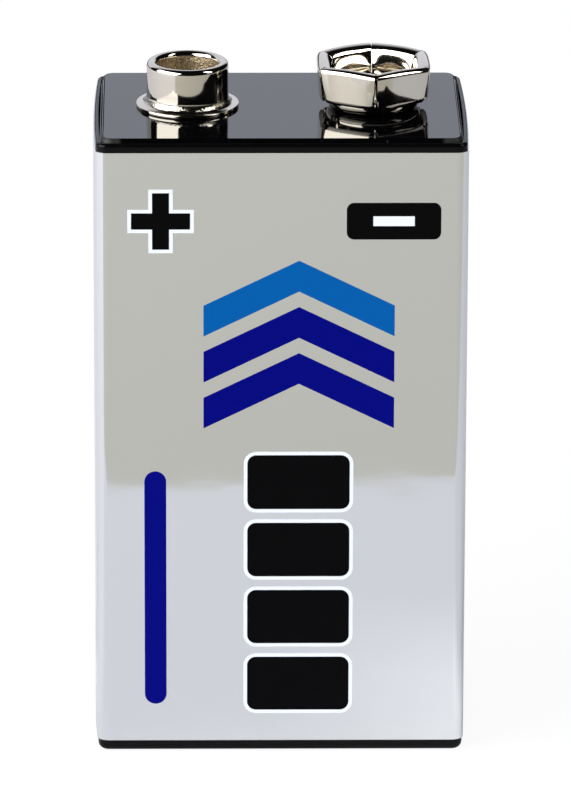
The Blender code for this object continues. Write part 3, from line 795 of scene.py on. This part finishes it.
film_mesh = smooth(wrapped_film())
new_piece("film_label", film_mesh, "label", [film])
print("label:", len(film_mesh.polygons), "faces")

# %% [markdown]
# ## Print
#
# The print is a plain design of flat shapes: a plus and a minus under the two snaps,
# three arrows that point up to them, a column of charge bars and one stripe. Each
# shape is a very thin plate of ink on the film. Shapes that repeat are drawn once, and
# a tree sets the copies at an even step.

# %% Ink plates
INK_THICKNESS = 0.006 * MM
INK_CORNER_STEPS = 6
film_front = label_low.y + INK_ROOM


def ink_mesh(outline, layer):
    """A plate of ink on the front of the film: layer 0 on the film, 1 on layer 0."""
    back = film_front - layer * INK_THICKNESS
    work = bmesh.new()
    levels = (back, back - INK_THICKNESS)
    rings = [[work.verts.new((x, y, label_low.z + z)) for x, z in outline] for y in levels]
    for ring in rings:
        work.faces.new(ring)
    lower, upper = rings
    for a in range(len(outline)):
        work.faces.new((lower[a - 1], lower[a], upper[a], upper[a - 1]))
    bmesh.ops.recalc_face_normals(work, faces=work.faces)
    return mesh_of(work, "ink")


def plate(x, z, width, height, corner, grow=0.0):
    """Outline of a rounded rectangle round a middle point, grown by a margin."""
    half_x, half_z = width / 2 + grow, height / 2 + grow
    corners = [(x + sx * half_x, z + sz * half_z, corner + grow) for sx, sz in CORNER_SIGNS]
    return rounded_line(corners, INK_CORNER_STEPS, closed=True)


def cross(x, z, span, arm, grow=0.0):
    """Outline of a plus sign: three points, turned to four sides."""
    far, near = span / 2 + grow, arm / 2 + grow
    quarter = [(far, -near), (far, near), (near, near)]
    points = []
    for cosine, sine in ((1, 0), (0, 1), (-1, 0), (0, -1)):
        points += [(x + cosine * a - sine * b, z + sine * a + cosine * b) for a, b in quarter]
    return points


def chevron(x, top, width, rise, thickness):
    """Outline of an arrow head that points up, its tip's upper edge at top."""
    half = width / 2
    return [
        (x, top - thickness),
        (x + half, top - thickness - rise),
        (x + half, top - rise),
        (x, top),
        (x - half, top - rise),
        (x - half, top - thickness - rise),
    ]


def repeat_tree():
    kinds = {"Count": "Int", "Step": "Float", "Finish": "Material"}
    tree, start, sockets = tree_with("repeat_upwards", kinds)
    step = add_node(tree, "ShaderNodeCombineXYZ", {"Z": start["Step"]})
    inputs = {"Count": start["Count"], "Offset": step.outputs["Vector"]}
    line = add_node(tree, "GeometryNodeMeshLine", inputs)
    inputs = {"Points": line.outputs[0], "Instance": start["Source"]}
    copies = add_node(tree, "GeometryNodeInstanceOnPoints", inputs)
    finish_tree(tree, copies.outputs[0], start["Finish"])
    return tree, sockets


repeat, repeat_sockets = repeat_tree()


def printed(name, outline, ink, layer=0, count=1, step=0.0):
    """Print a shape, once or several times at an even step upwards."""
    values = {"Count": count, "Step": step, "Finish": ink}
    mesh = run_tree(ink_mesh(outline, layer), repeat, repeat_sockets, values)
    piece = new_piece(name, mesh, None)


print("tree:", repeat.name, list(repeat_sockets))

# %% Print the design
SIGN_HEIGHT = 37.6 * MM
PLUS_X = -8.2 * MM
MINUS_X = 7.6 * MM
PLUS_SPAN = 4.0 * MM
PLUS_ARM = 1.15 * MM
MINUS_SPAN = 2.8 * MM
MINUS_ARM = 0.69 * MM
PLATE_WIDTH = 6.4 * MM
PLATE_HEIGHT = 2.6 * MM
PLATE_CORNER = 0.5 * MM
ARROW_WIDTH = 13.0 * MM
ARROW_RISE = 3.2 * MM
ARROW_THICKNESS = 2.2 * MM
ARROW_STEP = 3.3 * MM
ARROW_TOP = 34.8 * MM
BAR_WIDTH = 7.0 * MM
BAR_HEIGHT = 3.9 * MM
BAR_STEP = 4.9 * MM
BAR_COUNT = 4
BAR_FIRST = 4.2 * MM
BAR_CORNER = 0.6 * MM
STRIPE_X = -8.6 * MM
STRIPE_WIDTH = 1.5 * MM
STRIPE_HEIGHT = 17.0 * MM
STRIPE_MIDDLE = 11.2 * MM
DESIGN_X = 1.2 * MM
OUTLINE = 0.25 * MM

plus = (PLUS_X, SIGN_HEIGHT, PLUS_SPAN, PLUS_ARM)
printed("plus_edge", cross(*plus, OUTLINE), pale_ink)
printed("plus_sign", cross(*plus), black_ink, 1)
minus_plate = (MINUS_X, SIGN_HEIGHT, PLATE_WIDTH, PLATE_HEIGHT, PLATE_CORNER)
printed("minus_plate", plate(*minus_plate), black_ink)
printed("minus_sign", plate(MINUS_X, SIGN_HEIGHT, MINUS_SPAN, MINUS_ARM, 0.0), pale_ink, 1)
arrow = (DESIGN_X, ARROW_TOP, ARROW_WIDTH, ARROW_RISE, ARROW_THICKNESS)
lower_arrow = (DESIGN_X, ARROW_TOP - 2 * ARROW_STEP, *arrow[2:])
printed("arrow_bright", chevron(*arrow), bright_blue_ink)
printed("arrows_dark", chevron(*lower_arrow), dark_blue_ink, 0, 2, ARROW_STEP)
bar = (DESIGN_X, BAR_FIRST, BAR_WIDTH, BAR_HEIGHT, BAR_CORNER)
printed("charge_bar_edges", plate(*bar, OUTLINE), pale_ink, 0, BAR_COUNT, BAR_STEP)
printed("charge_bars", plate(*bar), black_ink, 1, BAR_COUNT, BAR_STEP)
stripe = (STRIPE_X, STRIPE_MIDDLE, STRIPE_WIDTH, STRIPE_HEIGHT, STRIPE_WIDTH / 2)
printed("blue_stripe", plate(*stripe), dark_blue_ink)

# %% [markdown]
# ## Top cover, base plate and rivets
#
# These are moulded or headed to forms that the frame already holds at full detail. Its
# meshes are loose triangles, which shade flat, so each gets a copy whose triangles are
# joined again and shaded smooth across its rounded edges.

# %% Smooth copies of frame pieces
MERGE = 0.0005 * MM
LEVEL_ANGLE = math.radians(0.2)


def smooth_copy(node, name, finish):
    """A joined copy of a node's mesh that shades smooth and stands for it."""
    work = bmesh.new()
    work.from_mesh(nodes[node].data)
    bmesh.ops.remove_doubles(work, verts=work.verts, dist=MERGE)
    bmesh.ops.dissolve_degenerate(work, edges=work.edges, dist=MERGE)
    bmesh.ops.dissolve_limit(
        work, angle_limit=LEVEL_ANGLE, verts=work.verts, edges=work.edges, delimit={"NORMAL"}
    )
    mesh = mesh_of(work, name)
    mesh.materials.clear()
    new_piece(name, smooth(mesh), node, [finish])


smooth_copy("top_cover", "moulded_top", plastic)
smooth_copy("bottom_cover", "moulded_base", plastic)
smooth_copy("positive_rivet", "stud_rivet", rivet_metal)
smooth_copy("negative_rivet", "socket_rivet", rivet_metal)
print("smooth copies: top, base and two rivets")

# %% [markdown]
# ## Positive stud
#
# The stud is drawn from sheet. Its wall stands nearly straight on a foot that spreads
# like a bell, and its rim is rolled over inwards. Everything on it is round, so one
# section is turned round its axis. The faces inside, below the roll, get the sandy
# finish, and the foot gets the scraped one.

# %% Turn the stud
STUD_FLANGE = 3.52 * MM
STUD_NECK = 2.81 * MM
STUD_BARREL = 2.80 * MM
STUD_OPENING = 2.10 * MM
STUD_NECK_TOP = 1.25 * MM
STUD_BARREL_START = 2.30 * MM
STUD_FILLET = 0.42 * MM
STUD_FILLET_RISE = 0.60 * MM
STUD_FLOOR_FILLET = 0.25 * MM
STUD_EDGE = 0.07 * MM
STUD_ROLL_DEPTH = 0.5 * MM
SCRAPED_SHARE = 0.8
SNAP_SHEET = 0.26 * MM
HOLE_RADIUS = 0.90 * MM
FIT = 0.02 * MM
TURN_STEPS = 144
SWELL_STEPS = 10
FOOT_STEPS = 12
EDGE_STEPS = 4
ROLL_STEPS = 18
FLOOR_STEPS = 6

stud_low, stud_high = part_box("positive_stud")
stud_x = (stud_low.x + stud_high.x) / 2
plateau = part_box("top_cover")[1].z


def stud_section():
    """The wall cut through, from the hole out over the flange and up to the rolled rim."""
    height = stud_high.z - plateau
    roll = (STUD_BARREL - STUD_OPENING) / 2
    edge = STUD_FLANGE - STUD_EDGE
    section = [(HOLE_RADIUS, FIT)]
    section += arc_points((edge, FIT + STUD_EDGE), STUD_EDGE, 270, 360, EDGE_STEPS)
    section += arc_points((edge, SNAP_SHEET - STUD_EDGE), STUD_EDGE, 0, 90, EDGE_STEPS)
    # The foot: a quarter of an ellipse, higher than it is wide
    for x, rise in arc_points((1.0, 1.0), 1.0, 270, 180, FOOT_STEPS):
        section.append((STUD_NECK + STUD_FILLET * x, SNAP_SHEET + STUD_FILLET_RISE * rise))
    for step in range(SWELL_STEPS + 1):
        done = step / SWELL_STEPS
        share = (1 - math.cos(math.pi * done)) / 2
        rise = STUD_NECK_TOP + (STUD_BARREL_START - STUD_NECK_TOP) * done
        section.append((STUD_NECK + (STUD_BARREL - STUD_NECK) * share, rise))
    section += arc_points((STUD_OPENING + roll, height - roll), roll, 0, 180, ROLL_STEPS)
    inner = (STUD_OPENING - STUD_FLOOR_FILLET, SNAP_SHEET + STUD_FLOOR_FILLET)
    section += arc_points(inner, STUD_FLOOR_FILLET, 0, -90, FLOOR_STEPS)
    section.append((HOLE_RADIUS, SNAP_SHEET))
    return section


def mark_finishes(mesh):
    """The inside below the roll gets the second finish, the bend at the foot the third."""
    floor_level = plateau + 2 * FIT
    roll_low = stud_high.z - STUD_ROLL_DEPTH
    foot_low = plateau + SNAP_SHEET + STUD_EDGE
    foot_high = plateau + SNAP_SHEET + STUD_FILLET_RISE * SCRAPED_SHARE
    for face in mesh.polygons:
        middle = face.center
        reach = math.hypot(middle.x - stud_x, middle.y)
        if reach < STUD_OPENING + MERGE and floor_level < middle.z < roll_low:
            face.material_index = 1
        elif reach > STUD_NECK - MERGE and foot_low < middle.z < foot_high:
            face.material_index = 2


stud_mesh = smooth(spun(stud_section(), TURN_STEPS, stud_x, plateau))
new_piece("drawn_stud", stud_mesh, "positive_stud", [nickel, sand, scraped])
mark_finishes(stud_mesh)
print("stud:", len(stud_mesh.polygons), "faces")

# %% [markdown]
# ## Negative socket
#
# The socket is drawn to a round cup, slit at six corners, and each petal is leaned in
# to its grip, flared, rolled over and brought down as a flat skirt. Its crest dips a
# little towards the slits. One petal's section follows the frame's, with wider bends.
# Only a sixth is drawn: the tree repeats it round the axis and joins the cup, and then
# the sheet gets its thickness and slightly rounded cut edges.

# %% Draw one sixth of the socket
SOCKET_FLAT = 3.77 * MM
SOCKET_CUP = 3.22 * MM
SOCKET_GRIP = 2.67 * MM
SOCKET_MOUTH = 2.88 * MM
SOCKET_SKIRT_RISE = 0.87 * MM
SOCKET_SKIRT_FLARE = -0.10 * MM
SOCKET_HEM = 0.22 * MM
SOCKET_HEM_TURN = 0.07 * MM
SOCKET_CUP_HEIGHT = 0.85 * MM
SOCKET_GRIP_HEIGHT = 1.75 * MM
SOCKET_ROLL = 0.26 * MM
SOCKET_MOUTH_BEND = 0.52 * MM
SOCKET_MOUTH_DROP = 0.13 * MM
SOCKET_CREST_LIFT = 0.09 * MM
SOCKET_CREST_DIP = 0.09 * MM
SOCKET_GRIP_BEND = 1.80 * MM
SOCKET_CUP_FILLET = 0.45 * MM
SOCKET_TURN = math.radians(1.0)
SLIT_TOP = 0.08 * MM
SLIT_HEM = 0.34 * MM
PETALS = 6
GRIP_HEX_SHARE = 0.35
CORNER_TURN_TOP = 0.020
CORNER_TURN_HEM = 0.095
CORNER_TURN_POWER = 4
PETAL_COLUMNS = 16
FOLD_STEPS = 7

socket_low, socket_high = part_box("negative_socket")
socket_x = (socket_low.x + socket_high.x) / 2
half_turn = math.pi / PETALS


def socket_rows():
    """Rows of the sheet from its hole to its hem: radius, height, share of six-sided."""
    half = SNAP_SHEET / 2
    ground = FIT + half
    crown = socket_high.z - plateau - half
    cup_side = SOCKET_CUP - half
    cup_line = [
        (HOLE_RADIUS, ground, 0.0),
        (cup_side, ground, SOCKET_CUP_FILLET),
        (cup_side, SOCKET_CUP_HEIGHT, 0.0),
    ]
    petal_line = [
        (cup_side, SOCKET_CUP_HEIGHT, 0.0),
        (SOCKET_GRIP + half, SOCKET_GRIP_HEIGHT, SOCKET_GRIP_BEND),
        (SOCKET_MOUTH + half, crown - SOCKET_MOUTH_DROP, SOCKET_MOUTH_BEND),
        (SOCKET_FLAT - SOCKET_SKIRT_FLARE - half, crown + SOCKET_CREST_LIFT, SOCKET_ROLL),
        (SOCKET_FLAT - half, SOCKET_SKIRT_RISE + SOCKET_HEM, SOCKET_HEM / 2),
        (SOCKET_FLAT - SOCKET_HEM_TURN - half, SOCKET_SKIRT_RISE, 0.0),
    ]
    cup, petal = (rounded_line(line, FOLD_STEPS) for line in (cup_line, petal_line))
    rows = [(point.x, point.y, 0.0) for point in cup]
    for point in petal[1:]:
        climb = (point.x - SOCKET_GRIP) / (SOCKET_MOUTH - SOCKET_GRIP)
        rows.append((point.x, point.y, min(max(climb, GRIP_HEX_SHARE), 1.0)))
    return rows, len(cup)


def from_crest(height, top, hem):
    """A value that changes evenly from the socket's crest down to its hem."""
    crest = socket_high.z - plateau
    drop = (crest - height) / (crest - SOCKET_SKIRT_RISE)
    return top + (hem - top) * min(max(drop, 0.0), 1.0)


def reach_at(radius, height, angle, share):
    """Distance from the axis: round at share 0, a flat with soft corners at 1."""
    corner_turn = from_crest(height, CORNER_TURN_TOP, CORNER_TURN_HEM)
    turned = corner_turn * (abs(angle) / half_turn) ** CORNER_TURN_POWER
    return radius * (1 + share * (1 / math.cos(angle) - 1 - turned))


def petal_mesh():
    rows, cup_rows = socket_rows()
    work = bmesh.new()
    rings = []
    for level, (radius, height, share) in enumerate(rows):
        outside = radius > (SOCKET_MOUTH + SOCKET_FLAT) / 2
        slit = from_crest(height, SLIT_TOP, SLIT_HEM) if outside else SLIT_TOP
        edge = half_turn - math.asin(slit / 2 / (radius / math.cos(half_turn)))
        steps = [2 * k / PETAL_COLUMNS - 1 for k in range(PETAL_COLUMNS + 1)]
        # Columns crowd towards the slits, where the sheet bends most
        angles = [edge * math.sin(math.pi / 2 * step) for step in steps]
        if level < cup_rows:
            angles = [-half_turn, *angles, half_turn]
        ring = []
        for angle in angles:
            reach = reach_at(radius, height, angle, share)
            dip = from_crest(height, SOCKET_CREST_DIP, 0.0) * (angle / half_turn) ** 2
            place = (reach * math.cos(angle), reach * math.sin(angle), height - dip)
            ring.append(work.verts.new(place))
        rings.append(ring)
    for level, (lower, upper) in enumerate(zip(rings, rings[1:])):
        if level == cup_rows - 1:
            lower = lower[1:-1]
        for a in range(len(upper) - 1):
            work.faces.new((lower[a], lower[a + 1], upper[a + 1], upper[a]))
    return mesh_of(work, "petal")


def ring_tree():
    tree, start, sockets = tree_with("repeat_round_axis", {"Count": "Int", "Finish": "Material"})
    points = add_node(tree, "GeometryNodePoints", {"Count": start["Count"]})
    index = add_node(tree, "GeometryNodeInputIndex")
    share = computed(tree, "DIVIDE", index.outputs[0], start["Count"])
    angle = computed(tree, "MULTIPLY", share, math.tau)
    turn = add_node(tree, "ShaderNodeCombineXYZ", {"Z": angle}).outputs[0]
    inputs = {"Points": points.outputs[0], "Instance": start["Source"], "Rotation": turn}
    copies = add_node(tree, "GeometryNodeInstanceOnPoints", inputs)
    real = add_node(tree, "GeometryNodeRealizeInstances", {0: copies.outputs[0]})
    inputs = {"Geometry": real.outputs[0], "Distance": MERGE}
    joined = add_node(tree, "GeometryNodeMergeByDistance", inputs)
    finish_tree(tree, joined.outputs[0], start["Finish"])
    return tree, sockets


around, around_sockets = ring_tree()
print("tree:", around.name, list(around_sockets))

# %% Repeat the petal and thicken the sheet
SHEET_EDGE = 0.05 * MM
SHEET_EDGE_ANGLE = math.radians(60.0)
SOCKET_SMOOTH_ANGLE = math.radians(50.0)


def rolled_socket():
    values = {"Count": PETALS, "Finish": nickel}
    sheet_mesh = run_tree(petal_mesh(), around, around_sockets, values)
    work = bmesh.new()
    work.from_mesh(sheet_mesh)
    bmesh.ops.recalc_face_normals(work, faces=work.faces)
    place = Matrix.Translation((socket_x, 0.0, plateau)) @ Matrix.Rotation(SOCKET_TURN, 4, "Z")
    bmesh.ops.transform(work, matrix=place, verts=work.verts)
    work.to_mesh(sheet_mesh)
    work.free()
    carrier = carried(sheet_mesh)
    wall = carrier.modifiers.new("sheet", "SOLIDIFY")
    wall.thickness = SNAP_SHEET
    wall.offset = 0.0
    wall.use_even_offset = True
    rim = carrier.modifiers.new("cut_edges", "BEVEL")
    rim.width = SHEET_EDGE
    rim.segments = 3
    rim.limit_method = "ANGLE"
    rim.angle_limit = SHEET_EDGE_ANGLE
    return applied(carrier)


socket_mesh = smooth(rolled_socket(), SOCKET_SMOOTH_ANGLE)
new_piece("petal_socket", socket_mesh, "negative_socket")
print("socket:", len(socket_mesh.polygons), "faces")

# %% [markdown]
# ## Inside pieces
#
# Nothing of the inside shows while the can is closed, but the part is also used
# opened up, so each piece gets the finish that it has on the bench: foil pouches,
# nickel strip, fibre board, foam and clear film.

# %% Inside finishes
ROLL_LINE = 0.15 * MM
FOIL_CREASE = 2.5 * MM
FIBRE_WIDTH = 0.5 * MM
FOAM_CELL = 0.25 * MM
FILM_WAVE = 6 * MM
DIP_SIZE = 0.8 * MM


def strip_nickel():
    """Rolled nickel strip: fine lines along the rolling direction."""
    material, tree, shader = new_material("rolled_nickel_strip", "C9C6BF", 1.0, 0.32)
    lines = object_noise(tree, ROLL_LINE, detail=2.0, stretch=(1.0, 0.08, 0.08))
    tree.links.new(ranged(tree, lines, 0.25, 0.42), shader.inputs["Roughness"])
    bump(tree, shader, lines, depth=0.002 * MM)
    return material


def pouch_foil():
    """Laminated aluminium foil, drawn over the cell: soft creases and a satin sheen."""
    material, tree, shader = new_material("laminated_pouch_foil", "D4D5D6", 1.0, 0.34)
    crease = object_noise(tree, FOIL_CREASE, detail=3.0)
    tree.links.new(ranged(tree, crease, 0.28, 0.42), shader.inputs["Roughness"])
    bump(tree, shader, crease, depth=0.03 * MM)
    return material


def fibre_board():
    """Grey vulcanised fibre: matt, with long pale fibres lying flat in it."""
    material, tree, shader = new_material("vulcanised_fibre_board", "95907F", 0.0, 0.8)
    fibre = object_noise(tree, FIBRE_WIDTH, detail=4.0, stretch=(0.3, 1.0, 1.0))
    tone = blended(tree, ranged(tree, fibre, 0.0, 1.0), "857F6E", "A8A392")
    tree.links.new(tone, shader.inputs["Base Color"])
    bump(tree, shader, fibre, depth=0.01 * MM)
    return material


def cell_foam(name, dark, light):
    """Foamed plastic: cells a quarter of a millimetre across, open at the surface."""
    material, tree, shader = new_material(name, light, 0.0, 0.95)
    place = add_node(tree, "ShaderNodeTexCoord").outputs["Object"]
    inputs = {"Vector": place, "Scale": 1 / FOAM_CELL}
    cells = add_node(tree, "ShaderNodeTexVoronoi", inputs).outputs["Distance"]
    tree.links.new(blended(tree, cells, dark, light), shader.inputs["Base Color"])
    bump(tree, shader, cells, depth=0.05 * MM)
    return material


def clear_film():
    """Clear polyester film: thin, glossy, a little milky."""
    material, tree, shader = new_material("clear_polyester_film", "EEF3F5", 0.0, 0.12)
    shader.inputs["Transmission Weight"].default_value = 0.85
    bump(tree, shader, object_noise(tree, FILM_WAVE, detail=1.0), depth=0.02 * MM)
    return material


def fuse_lacquer():
    """Dipped yellow lacquer on the fuse chip, thick and slightly uneven."""
    material, tree, shader = new_material("dipped_yellow_lacquer", "D2A93C", 0.0, 0.38)
    dip = object_noise(tree, DIP_SIZE, detail=2.0)
    tone = blended(tree, ranged(tree, dip, 0.0, 1.0), "C49A2E", "DDB74C")
    tree.links.new(tone, shader.inputs["Base Color"])
    bump(tree, shader, dip, depth=0.01 * MM)
    return material


strip = strip_nickel()
foil = pouch_foil()
inside = {
    "ptc_fuse": fuse_lacquer(),
    "insulating_board": fibre_board(),
    "insulating_sleeve": clear_film(),
    "front_pad": cell_foam("white_foam", "C9C9C4", "F0F0EC"),
    "bottom_foam": cell_foam("black_foam", "101011", "38383A"),
}
inside["rear_pad"] = inside["front_pad"]
for node in nodes:
    if node.endswith(("_tab", "_strap")):
        inside[node] = strip
for node, finish in inside.items():
    nodes[node].data.materials.clear()
    nodes[node].data.materials.append(finish)
for place in ("front", "middle", "rear"):
    smooth_copy(f"cell_{place}", f"pouch_cell_{place}", foil)
print("inside finishes:", len(inside), "nodes and three cells")
